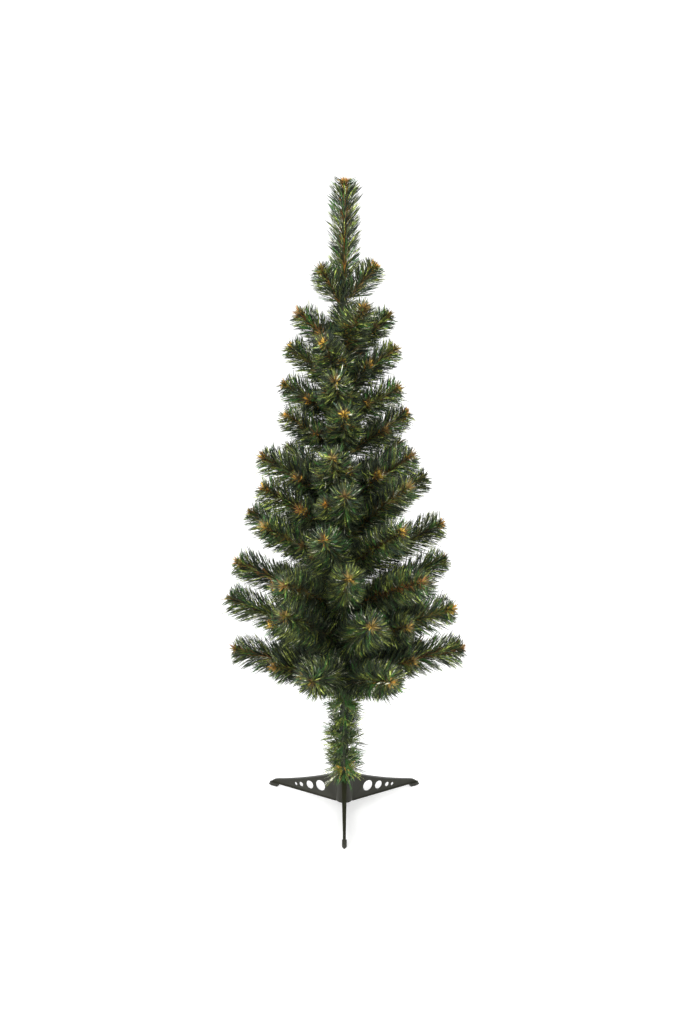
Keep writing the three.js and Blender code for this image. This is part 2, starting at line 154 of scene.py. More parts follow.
# Short brown needles along the wires, and the tan ones at their tips
SHORT_HALF_WIDTH = 1.15
BROWN_PER_MM = 3.4
BROWN_LENGTH = (10, 24)
BROWN_LEAN = (22, 54)
TAN_PER_TIP = (5, 62)
FEW_TAN_POWER = 2  # how much more of the tips have few tan needles than many
TAN_STRETCH = (1, 20)  # how far behind the wire's end they stand
TAN_CROWDING = (1, 2)  # the beta distribution that sets more of them near the end
TAN_LENGTH = (8, 15)
TAN_LEAN = (8, 75)
TUFT_SHARE = 0.3  # of the wires have a tuft of tan needles on the way
TUFT_PLACE = (0.3, 0.75)  # as a share of the wire's length
TUFT_NEEDLES = 14
TUFT_SPREAD = 5
LEADER_TUFTS = (22, 74, 106)  # how far up the leader its tufts stand

# Needles bound on the pole. A rise is degrees above the level.
POLE_SINK = 1  # how deep their roots lie in it
POLE_SWAY = 0.45  # how much sprays turn away from pointing straight out
POLE_SPRAY_JITTER = 0.16
POLE_LENGTH_SHARE = (0.75, 1)
INNER_NEEDLES = 4200  # inside the crown
INNER_LENGTH = (22, 36)
INNER_RISE = (10, 65)
SLEEVE_BOTTOM_Z = 68  # the sleeve covers the bare stretch of pole under the crown
SLEEVE_TOP_Z = 250
SLEEVE_SPRAYS = 362
SLEEVE_SPRAY = 8
SLEEVE_LENGTH = (18, 50)
SLEEVE_RISE = (-42, 60)
SLEEVE_BEND = 7
SKIRT_SPRAYS = 16  # which hang over the rim of the stand's hub
SKIRT_Z = (72, 84)
SKIRT_LENGTH = (26, 36)
SKIRT_SAG = 5
RIM_ROOM = 1
COLLAR_NEEDLES = 100  # tan, at the sleeve's foot
COLLAR_TUFT = 9
COLLAR_Z = (68, 84)
COLLAR_LENGTH = (14, 25)
COLLAR_RISE = (-40, 60)
CORE_NEEDLES = 900  # short and brown, on the pole in the upper crown
CORE_Z = (620, 1020)
CORE_LENGTH = (7, 13)
CORE_RISE = (20, 65)

# Kinds of needle: base colour, how much lighter its painted glints are, and share of the
# needles near the pole, at the crown's outside and on the sleeve. The darker kinds' larger
# share near the pole is painted shade inside the crown; the lighter kinds' larger share at
# its outside is painted light.
KINDS = {
    "deep": ((0.018, 0.024, 0.017), 1.8, 0.345, 0.270, 0.100),
    "dark": ((0.038, 0.050, 0.028), 1.9, 0.280, 0.245, 0.190),
    "mid": ((0.082, 0.103, 0.044), 2.5, 0.150, 0.150, 0.260),
    "green": ((0.046, 0.124, 0.030), 2.2, 0.055, 0.105, 0.200),
    "olive": ((0.122, 0.140, 0.030), 2.6, 0.045, 0.080, 0.120),
    "teal": ((0.048, 0.080, 0.056), 2.0, 0.055, 0.025, 0.020),
    "light": ((0.178, 0.211, 0.050), 3.8, 0.040, 0.080, 0.080),
    "pale": ((0.180, 0.195, 0.135), 6.0, 0.030, 0.045, 0.030),
}
# Kinds of brown and of tan needle: base colour, how much lighter its painted glints are,
# and share of those needles
BROWNS = {
    "brown": ((0.130, 0.088, 0.036), 1.5, 0.40),
    "sepia": ((0.310, 0.222, 0.072), 1.5, 0.36),
    "rust": ((0.340, 0.170, 0.055), 1.5, 0.24),
}
TANS = {
    "orange": ((0.580, 0.300, 0.050), 1.4, 0.26),
    "golden": ((0.700, 0.470, 0.088), 1.4, 0.38),
    "umber": ((0.160, 0.100, 0.030), 1.5, 0.17),
    "khaki": ((0.200, 0.175, 0.040), 1.5, 0.19),
}
STRAY_SHARE = 0.25  # of the needles have a kind of their own, not their spray's
CROWN_FOOT_Z = 280
CROWN_TOP_Z = 1050
CROWN_REACH = (225, 45)  # from the pole, at the crown's foot and at its top
OUTER_POWER = 2.4  # how much the lighter needles keep to the crown's outside, as painted light there, leaving the darker ones near the pole as painted shade
SLEEVE_PLACE = 2  # which gives the sleeve's needles the third share in KINDS
MOST_NEEDLES_A_PIECE = 19500

# Surfaces
# Painted glints: patches along each needle, lighter than its base colour, set by a noise
GLINT_SCALE = 150
GLINT_DETAIL = 2
GLINT_EDGE = (0.5, 0.57)
MOTTLE_DETAIL = 3
MOTTLE_EDGE = (0.3, 0.7)
GRAIN_DETAIL = 4
WIRE_BASE = (0.07, 0.045, 0.025)
TAPE_BASE = (0.022, 0.030, 0.013)
PLASTIC_BASE = (0.0115, 0.0115, 0.0045)

# The twisted wires, and the tape wound on the pole
STEM_PITCH = 4
STEM_SIDES = 6
STEM_RADIUS = 0.9
STEM_LOBES = 2
STEM_LOBE_HEIGHT = 0.35
STEM_TWIST = 11  # length of one full turn
WRAP_STEP = 2.5
WRAP_SIDES = 32
WRAP_PITCH = 14
WRAP_RELIEF = 0.5

# Stand
HUB_RADIUS = 16
HUB_BOTTOM_Z = 9
HUB_TOP_Z = 64
HUB_FLOOR = 4
HUB_BORE_RADIUS = 10
HUB_SIDES = 72
RIB_WIDTH = 2.6
RIB_PROUD = 2
RIB_SHORT = 2  # how much a rib stays short of the hub at each end
SLOT_WIDTH = 4.6
SLOT_DEPTH = 3.4
NOTCH_WIDTH = 5
NOTCH_DEPTH = 4
NOTCH_HEADING = 40  # from each leg
LEG_REACH = 180
LEG_HEADINGS = {"front": 0, "right": 120, "left": 240}
LEG_CLEAR_OUT = HUB_RADIUS + RIB_PROUD + GAP
LEG_WEB = 3.4
LEG_CLEARANCE = (3, 6)  # under its lower edge, at the hub and at the foot
LEG_SHOULDER = (158, 16.5)  # how far out and up the leg's upper edge turns down
LEG_SAG = (85, 33)  # what its hollow upper edge is drawn towards
TOE_BROW = (173, 13)  # what the rounded toe is drawn towards
CREST_STEPS = 28
TOE_STEPS = 12
FLANGE_THICKNESS = 2.4
FLANGE_WIDTH = (11.2, 5)  # at the pole's axis and at the toe
FLANGE_END_Z = 1
BEAD_HEIGHT = 1.8
BEAD_WIDTH = (6, 6)
FOOT_LENGTH = 22
FOOT_WIDTH = 9
FOOT_HEIGHT = 7
FOOT_NOSE = 7  # length of the foot's rounded front
NOSE_STEPS = 16
TOE_POINT = 2.5  # how far the toe's point stands out of the foot
LOCK_HOLE_RADIUS = 2.2
LOCK_HOLE_OUT = 23
LOCK_HOLE_BOTTOM_Z = 56
# How far out and up each hole in a leg's web is, and its radius
LEG_HOLES = [(54.8, 26.2, 11.3), (80.2, 21.8, 8.7), (100.7, 18, 5), (113.3, 16, 3.6)]
HOLE_SIDES = 48
HOLE_REACH = 9  # of the cutting solid, to each side of the web's middle
CUT_PAST = 1  # how far a cutting solid runs past the face that it opens
EDGE_ROUNDING = 0.45
EDGE_SEGMENTS = 2
SHARP_ANGLE = math.radians(35)

# Floor, light and camera. Places and sizes are metres, and the sensor's width is millimetres.
FLOOR_RADIUS = 60
FLOOR_SIDES = 96
FLOOR_BASE = (0.9, 0.9, 0.9)
FLOOR_GLOW = 0.25
WORLD_STRENGTH = 1.25
LIGHT_TARGET = (0, 0, 0.6)
# Where each light is, how wide, and its power
LIGHTS = {
    "key": ((-2.4, -2.2, 1.5), 1.4, 70),
    "fill": ((1.6, -2.4, 2.4), 2.0, 25),
}
PHOTO_SIZE = (683, 1024)
FOCAL_PIXELS = 1055
SENSOR = 36
CAMERA_PLACE = (-0.0053, -1.958, 0.974)
CAMERA_PITCH = 11


def lerp(low, high, share):
    return low + (high - low) * share


def pole_radius(z):
    return lerp(POLE_FOOT_RADIUS, POLE_TIP_RADIUS, z / POLE_TIP_Z)


# The wires, by the same seeded rule as the solids
def draws(seed):
    """Even random numbers from 0 to 1, settled by the seed."""
    state = seed * DRAW_FACTOR % DRAW_MODULUS
    state = state * DRAW_FACTOR % DRAW_MODULUS
    while True:
        state = state * DRAW_FACTOR % DRAW_MODULUS
        yield state / DRAW_MODULUS


def nearest_whole(value):
    return math.floor(value + 0.5)


def direction(heading, rise):
    """The unit vector that points along a heading and climbs at a rise."""
    turn, climb = math.radians(heading), math.radians(rise)
    return np.array(
        (
            math.sin(turn) * math.cos(climb),
            -math.cos(turn) * math.cos(climb),
            math.sin(climb),
        )
    )


def walk(wire, steps):
    """Points and directions along a wire whose heading and rise turn evenly."""

    def at(share):
        heading = wire["heading"] + wire["swing"] * share
        return direction(heading, wire["rise"] + wire["lift"] * share)

    points, alongs = [wire["root"]], [at(0)]
    for i in range(steps):
        points.append(points[-1] + at((i + 0.5) / steps) * wire["length"] / steps)
        alongs.append(at((i + 1) / steps))
    return np.array(points), np.array(alongs)


def steps_of(wire, pitch):
    """How many steps of about one pitch there are along a wire."""
    return max(FEWEST_STEPS, nearest_whole(wire["length"] / pitch))


def room_beside(headings, index, hand):
    """How far round the pole the next bough of a tier is, on the left or right hand."""
    beside = headings[(index + hand) % len(headings)]
    return (hand * (beside - headings[index])) % 360


def bough_wires(tier, index, seed, bent_up):
    """The wires of one bough: its own, and a side twig on each hand where there is room."""
    tier_z, tier_length, tier_rise, headings = tier
    numbers = draws(seed)

    def spread(amount):
        return (2 * next(numbers) - 1) * amount

    stagger = STAGGER if index % 2 else -STAGGER
    z = tier_z + stagger + spread(HEIGHT_SPREAD)
    heading = headings[index] + spread(HEADING_SPREAD)
    rise = tier_rise + bent_up - TIP_LIFT / 2 + spread(RISE_SPREAD)
    length = tier_length * (1 + spread(LENGTH_SPREAD))
    swing = spread(SWING_SPREAD)
    seat = pole_radius(z) + GAP + ROOT_CORE_RADIUS * math.sin(math.radians(rise))
    root = direction(heading, 0) * seat + UP * z
    main = {
        "root": root,
        "heading": heading,
        "rise": rise,
        "lift": TIP_LIFT,
        "swing": swing,
        "length": length,
    }
    wires = [main]
    if length < SHORTEST_FORKED:
        return wires
    share = lerp(*SIDE_SHARE, z / TREE_HEIGHT)
    for hand in (-1, 1):
        if room_beside(headings, index, hand) <= SIDE_ROOM:
            continue
        fork = FORK_AT + spread(FORK_SPREAD)
        points, _ = walk(main, steps_of(main, RING_PITCH))
        turn = FORK_ANGLE + spread(FORK_ANGLE_SPREAD)
        twig = {
            "root": points[nearest_whole(fork * (len(points) - 1))],
            "heading": heading + swing * fork + hand * turn,
            "rise": rise + TIP_LIFT * fork + spread(SIDE_RISE_SPREAD),
            "lift": TIP_LIFT,
            "swing": -hand * FORK_BACK_BEND,
            "length": length * share * (1 + spread(SIDE_LENGTH_SPREAD)),
        }
        wires.append(twig)
    return wires


def all_wires():
    """The wires of all boughs, from the bottom, and the leader's."""
    wires = []
    for level, tier in enumerate(TIERS):
        for index in range(len(tier[-1])):
            bent_up = BENT_UP.get(f"bough_{level + 1:02d}_{index + 1}", 0)
            wires += bough_wires(tier, index, SEED + SEEDS_A_TIER * level + index, bent_up)
    leader = {
        "root": UP * (POLE_TIP_Z + GAP),
        "heading": 0,
        "rise": 90,
        "lift": 0,
        "swing": 0,
        "length": TREE_HEIGHT - TIP_OVERHANG - POLE_TIP_Z - GAP,
    }
    return [*wires, leader]


# Meshes from arrays
def unit(vectors):
    return vectors / np.linalg.norm(vectors, axis=-1, keepdims=True)


def joined_mesh(name, points, triangles, material, slot, smooth=False):
    """One piece from points in millimetres and triangles, riding on the tree."""
    mesh = bpy.data.meshes.new(name)
    mesh.vertices.add(len(points))
    mesh.vertices.foreach_set("co", (points * MM).astype(np.float32).ravel())
    mesh.loops.add(triangles.size)
    mesh.loops.foreach_set("vertex_index", triangles.astype(np.int32).ravel())
    mesh.polygons.add(len(triangles))
    starts = np.arange(0, triangles.size, 3, dtype=np.int32)
    mesh.polygons.foreach_set("loop_start", starts)
    mesh.update(calc_edges=True)
    if smooth:
        mesh.shade_smooth()
    else:
        mesh.shade_flat()
    mesh.materials.append(material)
    piece = bpy.data.objects.new(name, mesh)
    bpy.context.scene.collection.objects.link(piece)
    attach(piece, "root")
    return piece


def tube_faces(rings, sides, first=0):
    """Triangles of a closed tube over rings of points, with a fan over each end."""
    faces = []
    start, end = first + rings * sides, first + rings * sides + 1
    last = first + (rings - 1) * sides
    for j in range(sides):
        k = (j + 1) % sides
        faces += [(start, first + k, first + j), (end, last + j, last + k)]
        for i in range(rings - 1):
            a, b = first + i * sides + j, first + i * sides + k
            faces += [(a, b, b + sides), (a, b + sides, a + sides)]
    return faces


# Needles, which are narrow strips folded along their middle
LONG_NEEDLE_FACES = np.array([(0, 1, 4), (0, 4, 3), (1, 2, 5), (1, 5, 4), (3, 4, 6), (4, 5, 6)])
SHORT_NEEDLE_FACES = np.array([(0, 1, 3), (1, 2, 3)])


def section(centre, side, ridge, half_width):
    """The two edges of a needle and the fold between them, at each centre."""
    half = half_width[:, None]
    return [
        centre + side * half,
        centre + ridge * half * NEEDLE_RIDGE,
        centre - side * half,
    ]


def needle_bodies(needles, long):
    """Points and triangles of needles given by foot, aim, side, length, width and bend."""
    foot, aim, side = needles["foot"], needles["aim"], needles["side"]
    length, half, bend = needles["length"], needles["half"], needles["bend"]
    ridge = np.cross(aim, side)
    tip = foot + aim * length[:, None] + bend
    corners = section(foot, side, ridge, half * (NEEDLE_ROOT if long else 1))
    faces = SHORT_NEEDLE_FACES
    if long:
        middle = foot + aim * (length * NEEDLE_MIDDLE)[:, None] + bend * NEEDLE_MIDDLE**2
        corners += section(middle, side, ridge, half)
        faces = LONG_NEEDLE_FACES
    points = np.stack([*corners, tip], axis=1)
    offsets = np.arange(len(foot))[:, None, None] * points.shape[1]
    return points.reshape(-1, 3), (faces[None] + offsets).reshape(-1, 3)


def needle_set(rng, foot, aim, length, half_width, bend):
    """Needles that are turned at random round their own length and have a random bend."""
    count = len(foot)
    other = unit(rng.normal(size=(count, 3)))
    side = unit(np.cross(aim, other))
    return {
        "foot": foot,
        "aim": aim,
        "side": side,
        "length": length,
        "half": half_width * rng.uniform(*NEEDLE_WIDTH_SPREAD, count),
        "bend": unit(rng.normal(size=(count, 3))) * bend * rng.random(count)[:, None],
    }


def kept(needles, mask):
    return {key: value[mask] for key, value in needles.items()}


def joined(sets):
    return {key: np.concatenate([s[key] for s in sets]) for key in sets[0]}


def clear_of_pole(needles):
    """True for needles that pass beside the pole and don't run into it."""
    clear = np.ones(len(needles["foot"]), bool)
    for share in POLE_CHECKS:
        point = needles["foot"] + needles["aim"] * (needles["length"] * share)[:, None]
        out = np.hypot(point[:, 0], point[:, 1])
        beside = out > pole_radius(point[:, 2]) + POLE_ROOM
        clear &= (point[:, 2] > POLE_TIP_Z) | beside
    return clear


def places_on(wire, distance):
    """Points, directions and two cross directions at distances along a wire."""
    steps = steps_of(wire, COURSE_PITCH)
    points, alongs = walk(wire, steps)
    reached = np.linspace(0, wire["length"], steps + 1)

    def between(values):
        columns = [np.interp(distance, reached, values[:, axis]) for axis in range(3)]
        return np.stack(columns, axis=1)

    along = unit(between(alongs))
    sideways = np.cross(UP, along)
    sideways[np.linalg.norm(sideways, axis=1) < LEAST_LEVEL] = (1, 0, 0)
    across = unit(sideways)
    return between(points), along, across, np.cross(along, across)


def end_limited(left, lean, full):
    """Lengths cut down until the needles' tips lie in the rounded end of the brush."""
    length = full.copy()
    widest = full * math.sin(math.radians(NEEDLE_LEAN))
    while True:
        behind = left + TIP_OVERHANG - length * np.cos(lean)
        share = np.clip(1 - behind / END_DEPTH, 0, 1)
        outside = length * np.sin(lean) > END_FLAT + widest * np.sqrt(1 - share**2)
        outside &= length > SHORTEST_NEEDLE
        if not outside.any():
            return length
        length[outside] *= SHORTENING


def brush(wire, rng):
    """The long needles of one wire, and the number of the spray that each is in."""
    sprays = nearest_whole(wire["length"] * NEEDLES_PER_MM / SPRAY)
    place = (np.arange(sprays) + rng.random(sprays)) / sprays * wire["length"]
    row = np.arange(sprays) % TWIST_ROWS
    turn = 2 * np.pi * (place / TWIST_PITCH + row / TWIST_ROWS)
    turn += np.radians(rng.normal(0, ROW_JITTER, sprays))
    loose = rng.random(sprays) < LOOSE_SHARE
    turn[loose] = rng.uniform(0, 2 * np.pi, loose.sum())
    lean = rng.normal(0, SPRAY_LEAN_JITTER, sprays)
    place, turn, lean = (np.repeat(values, SPRAY) for values in (place, turn, lean))
    count = sprays * SPRAY
    place = np.clip(place + rng.normal(0, NEEDLE_PLACE_JITTER, count), 0, wire["length"])
    turn = turn + np.radians(rng.normal(0, NEEDLE_TURN_JITTER, count))
    foot, along, across, up = places_on(wire, place)
    out = across * np.cos(turn)[:, None] + up * np.sin(turn)[:, None]
    left = wire["length"] - place
    ending = np.clip(1 - left / END_STRETCH, 0, 1)
    lean = lean + lerp(NEEDLE_LEAN, END_LEAN, ending)
    lean = np.clip(lean + rng.normal(0, NEEDLE_LEAN_JITTER, count), *LEAN_LIMITS)
    lean = np.radians(lean)
    full = lerp(*NEEDLE_LENGTH, wire["root"][2] / TREE_HEIGHT)
    full = full * (1 + rng.uniform(-1, 1, count) * NEEDLE_LENGTH_SPREAD)
    length = end_limited(left + rng.normal(0, END_JITTER, count), lean, full)
    length[rng.random(count) < LONG_SHARE] *= LONG_FACTOR
    aim = out * np.sin(lean)[:, None] + along * np.cos(lean)[:, None]
    needles = needle_set(rng, foot, aim, length, NEEDLE_HALF_WIDTH, NEEDLE_BEND)
    clear = clear_of_pole(needles)
    return kept(needles, clear), np.arange(count)[clear] // SPRAY


def short_needles(wire, rng, distance, lengths, leans):
    """Short needles that stand all round a wire at the distances given."""
    count = len(distance)
    foot, along, across, up = places_on(wire, distance)
    turn = rng.uniform(0, 2 * np.pi, count)
    out = across * np.cos(turn)[:, None] + up * np.sin(turn)[:, None]
    lean = np.radians(rng.uniform(*leans, count))
    aim = out * np.sin(lean)[:, None] + along * np.cos(lean)[:, None]
    length = rng.uniform(*lengths, count)
    return needle_set(rng, foot, aim, length, SHORT_HALF_WIDTH, 0)


def pole_needles(rng, z, rise, length, spray, bend=NEEDLE_BEND, sag=0):
    """Needles that stand out of the pole, one spray at each height given, and the number of
    the spray that each is in."""
    count = len(z) * spray
    turn = rng.uniform(0, 2 * np.pi, len(z))
    out = np.stack([np.sin(turn), -np.cos(turn), np.zeros(len(z))], axis=1)
    sway = rng.normal(0, POLE_SWAY, len(z))[:, None]
    outward = unit(out + np.cross(out, UP) * sway)
    rise = np.radians(rise)[:, None]
    aim = outward * np.cos(rise) + UP * np.sin(rise)
    foot = out * (pole_radius(z) - POLE_SINK)[:, None] + UP * z[:, None]
    foot, aim, length = (np.repeat(values, spray, axis=0) for values in (foot, aim, length))
    aim = unit(aim + rng.normal(0, POLE_SPRAY_JITTER, (count, 3)))
    length = length * rng.uniform(*POLE_LENGTH_SHARE, count)
    needles = needle_set(rng, foot, aim, length, NEEDLE_HALF_WIDTH, bend)
    needles["bend"] = needles["bend"] - UP * sag
    return needles, np.arange(count) // spray


def bound_needles(rng, sprays, heights, rises, lengths, spray=1, bend=NEEDLE_BEND):
    """Sprays of needles bound on the pole all the way between two heights."""
    z = rng.uniform(*heights, sprays)
    rise = rng.uniform(*rises, sprays)
    length = rng.uniform(*lengths, sprays)
    return pole_needles(rng, z, rise, length, spray, bend)


def skirt_needles(rng):
    """Sprays that start above the stand's hub and hang over its rim."""
    z = rng.uniform(*SKIRT_Z, SKIRT_SPRAYS)
    over_rim = HUB_RADIUS + RIM_ROOM - pole_radius(z)
    rise = -np.degrees(np.arctan((z - HUB_TOP_Z - RIM_ROOM) / over_rim))
    length = rng.uniform(*SKIRT_LENGTH, SKIRT_SPRAYS)
    return pole_needles(rng, z, rise, length, SLEEVE_SPRAY, sag=SKIRT_SAG)


def place_in_crown(needles):
    """Where needles end: from 0 at the pole to 1 at the crown's outside, or on the sleeve."""
    tip = needles["foot"] + needles["aim"] * needles["length"][:, None]
    up = np.clip((tip[:, 2] - CROWN_FOOT_Z) / (CROWN_TOP_Z - CROWN_FOOT_Z), 0, 1)
    outward = np.hypot(tip[:, 0], tip[:, 1]) / lerp(*CROWN_REACH, up)
    above = (tip[:, 2] - POLE_TIP_Z) / (CROWN_TOP_Z - POLE_TIP_Z)
    # The place sets the kinds' shares: darker needles near the pole are painted shade, lighter
    # ones at the outside painted light
    inside = np.clip(np.maximum(outward, above), 0, 1) ** OUTER_POWER
    return np.where(needles["foot"][:, 2] < SLEEVE_TOP_Z, SLEEVE_PLACE, inside)


def deal(rng, kinds, place, spray):
    """A kind for each spray. Each kind has a colour, how much lighter its painted glints are
    and one share, or one share for each whole number of place."""
    chances = [
        np.interp(place, range(len(shares)), shares) for _, _, *shares in kinds.values()
    ]
    chances = np.cumsum(np.stack(chances, axis=1), axis=1)
    drawn = rng.random(spray.max() + 1)[spray]
    stray = rng.random(len(spray)) < STRAY_SHARE
    drawn[stray] = rng.random(stray.sum())
    drawn = drawn * chances[:, -1]
    return (drawn[:, None] > chances).sum(axis=1)


# Materials
def plain_material(name, base, roughness, metallic=0.0, specular=0.5):
    material = bpy.data.materials.new(name)
    material.use_nodes = True
    shader = material.node_tree.nodes["Principled BSDF"]
    shader.inputs["Base Color"].default_value = (*base, 1)
    shader.inputs["Roughness"].default_value = roughness
    shader.inputs["Metallic"].default_value = metallic
    shader.inputs["Specular IOR Level"].default_value = specular
    return material


def add_noise(tree, scale, detail):
    """A noise node that runs through the piece."""
    coordinates = tree.nodes.new("ShaderNodeTexCoord")
    noise = tree.nodes.new("ShaderNodeTexNoise")
    noise.inputs["Scale"].default_value = scale
    noise.inputs["Detail"].default_value = detail
    tree.links.new(coordinates.outputs["Object"], noise.inputs["Vector"])
    return noise


def colour_by_noise(material, colours, edges, scale, detail):
    """Lets the base colour go from one colour to another by a noise, between two edges."""
    tree = material.node_tree
    noise = add_noise(tree, scale, detail)
    ramp = tree.nodes.new("ShaderNodeValToRGB")
    for stop, colour, edge in zip(ramp.color_ramp.elements, colours, edges):
        stop.position = edge
        stop.color = (*colour, 1)
    tree.links.new(noise.outputs["Fac"], ramp.inputs["Fac"])
    tree.links.new(ramp.outputs["Color"], tree.nodes["Principled BSDF"].inputs["Base Color"])


def add_mottle(material, base, amount, scale):
    """Lets the base colour wander between darker and lighter."""
    darker = [c * (1 - amount) for c in base]
    lighter = [c * (1 + amount) for c in base]
    colour_by_noise(material, (darker, lighter), MOTTLE_EDGE, scale, MOTTLE_DETAIL)


def add_grain(material, scale, strength, distance):
    """A fine bump all over."""
    tree = material.node_tree
    noise = add_noise(tree, scale, GRAIN_DETAIL)
    bump = tree.nodes.new("ShaderNodeBump")
    bump.inputs["Strength"].default_value = strength
    bump.inputs["Distance"].default_value = distance
    tree.links.new(noise.outputs["Fac"], bump.inputs["Height"])
    tree.links.new(bump.outputs["Normal"], tree.nodes["Principled BSDF"].inputs["Normal"])


def needle_material(name, base, glint):
    """Needle colour with patches of painted glint, lighter than the base."""
    material = plain_material(name, base, roughness=0.42, specular=0.3)
    # Painted glints: patches along the needle where its base colour is made lighter
    lighter = [min(c * glint, 1) for c in base]
    colour_by_noise(material, (base, lighter), GLINT_EDGE, GLINT_SCALE, GLINT_DETAIL)
    return material


# Building the crown, from groups that are each needles and the numbers of their sprays
def numbered(sprays):
    """Spray numbers of several groups, counted on from group to group."""
    firsts = np.cumsum([0] + [numbers.max() + 1 for numbers in sprays[:-1]])
    return np.concatenate([n + first for n, first in zip(sprays, firsts)])


def make_kinds(rng, kinds, groups, long):
    """Pieces of joined needles, each of one kind."""
    needles = joined([group[0] for group in groups])
    sprays = numbered([group[1] for group in groups])
    dealt = deal(rng, kinds, place_in_crown(needles), sprays)
    for number, (kind, (base, glint, *_)) in enumerate(kinds.items()):
        chosen = kept(needles, dealt == number)
        material = needle_material(f"needle_{kind}", base, glint)
        count = len(chosen["foot"])
        parts = math.ceil(count / MOST_NEEDLES_A_PIECE)
        for part in range(parts):
            some = kept(chosen, slice(part * count // parts, (part + 1) * count // parts))
            name = f"needles_{kind}_{part + 1}" if parts > 1 else f"needles_{kind}"
            joined_mesh(name, *needle_bodies(some, long), material, "tinsel")


def make_needles(wires):
    """The long green needles on the wires and on the pole."""
    rng = np.random.default_rng(SEED)
    groups = [brush(wire, rng) for wire in wires]
    inner_z, sleeve_z = (SLEEVE_TOP_Z, POLE_TIP_Z), (SLEEVE_BOTTOM_Z, SLEEVE_TOP_Z)
    inner = bound_needles(rng, INNER_NEEDLES, inner_z, INNER_RISE, INNER_LENGTH)
    sleeve = bound_needles(
        rng, SLEEVE_SPRAYS, sleeve_z, SLEEVE_RISE, SLEEVE_LENGTH, SLEEVE_SPRAY, SLEEVE_BEND
    )
    make_kinds(rng, KINDS, [*groups, inner, sleeve, skirt_needles(rng)], long=True)


def one_spray(needles):
    """A group of needles that are all one spray."""
    return needles, np.zeros(len(needles["foot"]), int)


def brown_needles(wire, rng):
    """Short brown needles all along a wire."""
    count = nearest_whole(wire["length"] * BROWN_PER_MM)
    distance = rng.uniform(0, wire["length"], count)
    return short_needles(wire, rng, distance, BROWN_LENGTH, BROWN_LEAN)


def tan_needles(wire, rng, tufts=None):
    """Tan needles at a wire's tip and in tufts on the way, at places given or by chance."""
    count = nearest_whole(lerp(*TAN_PER_TIP, rng.random() ** FEW_TAN_POWER))
    back = lerp(*TAN_STRETCH, rng.beta(*TAN_CROWDING, count))
    sets = [short_needles(wire, rng, wire["length"] - back, TAN_LENGTH, TAN_LEAN)]
    drawn = rng.uniform(*TUFT_PLACE, int(rng.random() < TUFT_SHARE)) * wire["length"]
    for place in drawn if tufts is None else tufts:
        distance = place + rng.normal(0, TUFT_SPREAD, TUFT_NEEDLES)
        sets.append(short_needles(wire, rng, distance, TAN_LENGTH, TAN_LEAN))
    return joined(sets)


def make_short_needles(wires):
    """The short brown and tan needles on the wires and on the pole."""
    rng = np.random.default_rng(SEED + 1)
    leader = wires[-1]
    browns, tans = [], []
    for wire in wires:
        browns.append(one_spray(brown_needles(wire, rng)))
        tufts = LEADER_TUFTS if wire is leader else None
        tans.append(one_spray(tan_needles(wire, rng, tufts)))
    browns.append(bound_needles(rng, CORE_NEEDLES, CORE_Z, CORE_RISE, CORE_LENGTH))
    make_kinds(rng, BROWNS, browns, long=False)
    collar, _ = bound_needles(rng, COLLAR_NEEDLES, COLLAR_Z, COLLAR_RISE, COLLAR_LENGTH)
    tans.append((collar, np.arange(COLLAR_NEEDLES) // COLLAR_TUFT))
    make_kinds(rng, TANS, tans, long=True)


def make_stems(wires):
    """The twisted wires that the needles are held in, as one piece."""
    points, faces, first = [], [], 0
    angles = np.arange(STEM_SIDES) * 2 * np.pi / STEM_SIDES
    for wire in wires:
        rings = steps_of(wire, STEM_PITCH) + 1
        distance = np.linspace(0, wire["length"], rings)
        centre, _, across, up = places_on(wire, distance)
        twist = 2 * np.pi * distance / STEM_TWIST
        lobes = np.cos(STEM_LOBES * (angles[None] - twist[:, None]))
        radius = STEM_RADIUS + STEM_LOBE_HEIGHT * lobes
        ring_points = (
            centre[:, None]
            + across[:, None] * (radius * np.cos(angles))[..., None]
            + up[:, None] * (radius * np.sin(angles))[..., None]
        )
        points += [ring_points.reshape(-1, 3), centre[:1], centre[-1:]]
        faces += tube_faces(rings, STEM_SIDES, first)
        first = sum(len(some) for some in points)
    material = plain_material("twisted_wire", WIRE_BASE, roughness=0.5, metallic=0.5)
    add_mottle(material, WIRE_BASE, amount=0.4, scale=60)
    piece = joined_mesh(
        "wire_stems", np.concatenate(points), np.array(faces), material, "tinsel", smooth=True
    )
    tinsel = [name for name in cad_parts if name.startswith("bough_")]
    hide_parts(*tinsel, "leader", "pole_sleeve")


def make_pole():
    """The pole with its winding of tape, each turn lying over the edge of the last."""
    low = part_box("pole")[0][2] / MM
    rings = nearest_whole((POLE_TIP_Z - low) / WRAP_STEP) + 1
    z = np.linspace(low, POLE_TIP_Z, rings)[:, None]
    angles = (np.arange(WRAP_SIDES) * 2 * np.pi / WRAP_SIDES)[None]
    turn = np.mod(z / WRAP_PITCH + angles / (2 * np.pi), 1)
    radius = pole_radius(z) - WRAP_RELIEF * turn
    height = np.broadcast_to(z, radius.shape)
    points = np.stack([radius * np.cos(angles), radius * np.sin(angles), height], axis=2)
    ends = np.array([(0, 0, low), (0, 0, POLE_TIP_Z)])
    points = np.concatenate([points.reshape(-1, 3), ends])
    material = plain_material("wound_tape", TAPE_BASE, roughness=0.55)
    add_mottle(material, TAPE_BASE, amount=0.3, scale=45)
    add_grain(material, scale=900, strength=0.3, distance=0.0004)
    faces = np.array(tube_faces(rings, WRAP_SIDES))
    piece = joined_mesh("wound_pole", points, faces, material, "pole", smooth=True)
    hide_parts("pole")


# Moulded pieces of the stand
def solid_piece(name, points, faces):
    """A mesh object from points in millimetres and faces of any size."""
    mesh = bpy.data.meshes.new(name)
    mesh.from_pydata([tuple(c * MM for c in p) for p in points], [], faces)
    work = bmesh.new()
    work.from_mesh(mesh)
    bmesh.ops.recalc_face_normals(work, faces=work.faces)
    work.to_mesh(mesh)
    work.free()
    piece = bpy.data.objects.new(name, mesh)
    bpy.context.scene.collection.objects.link(piece)
    return piece


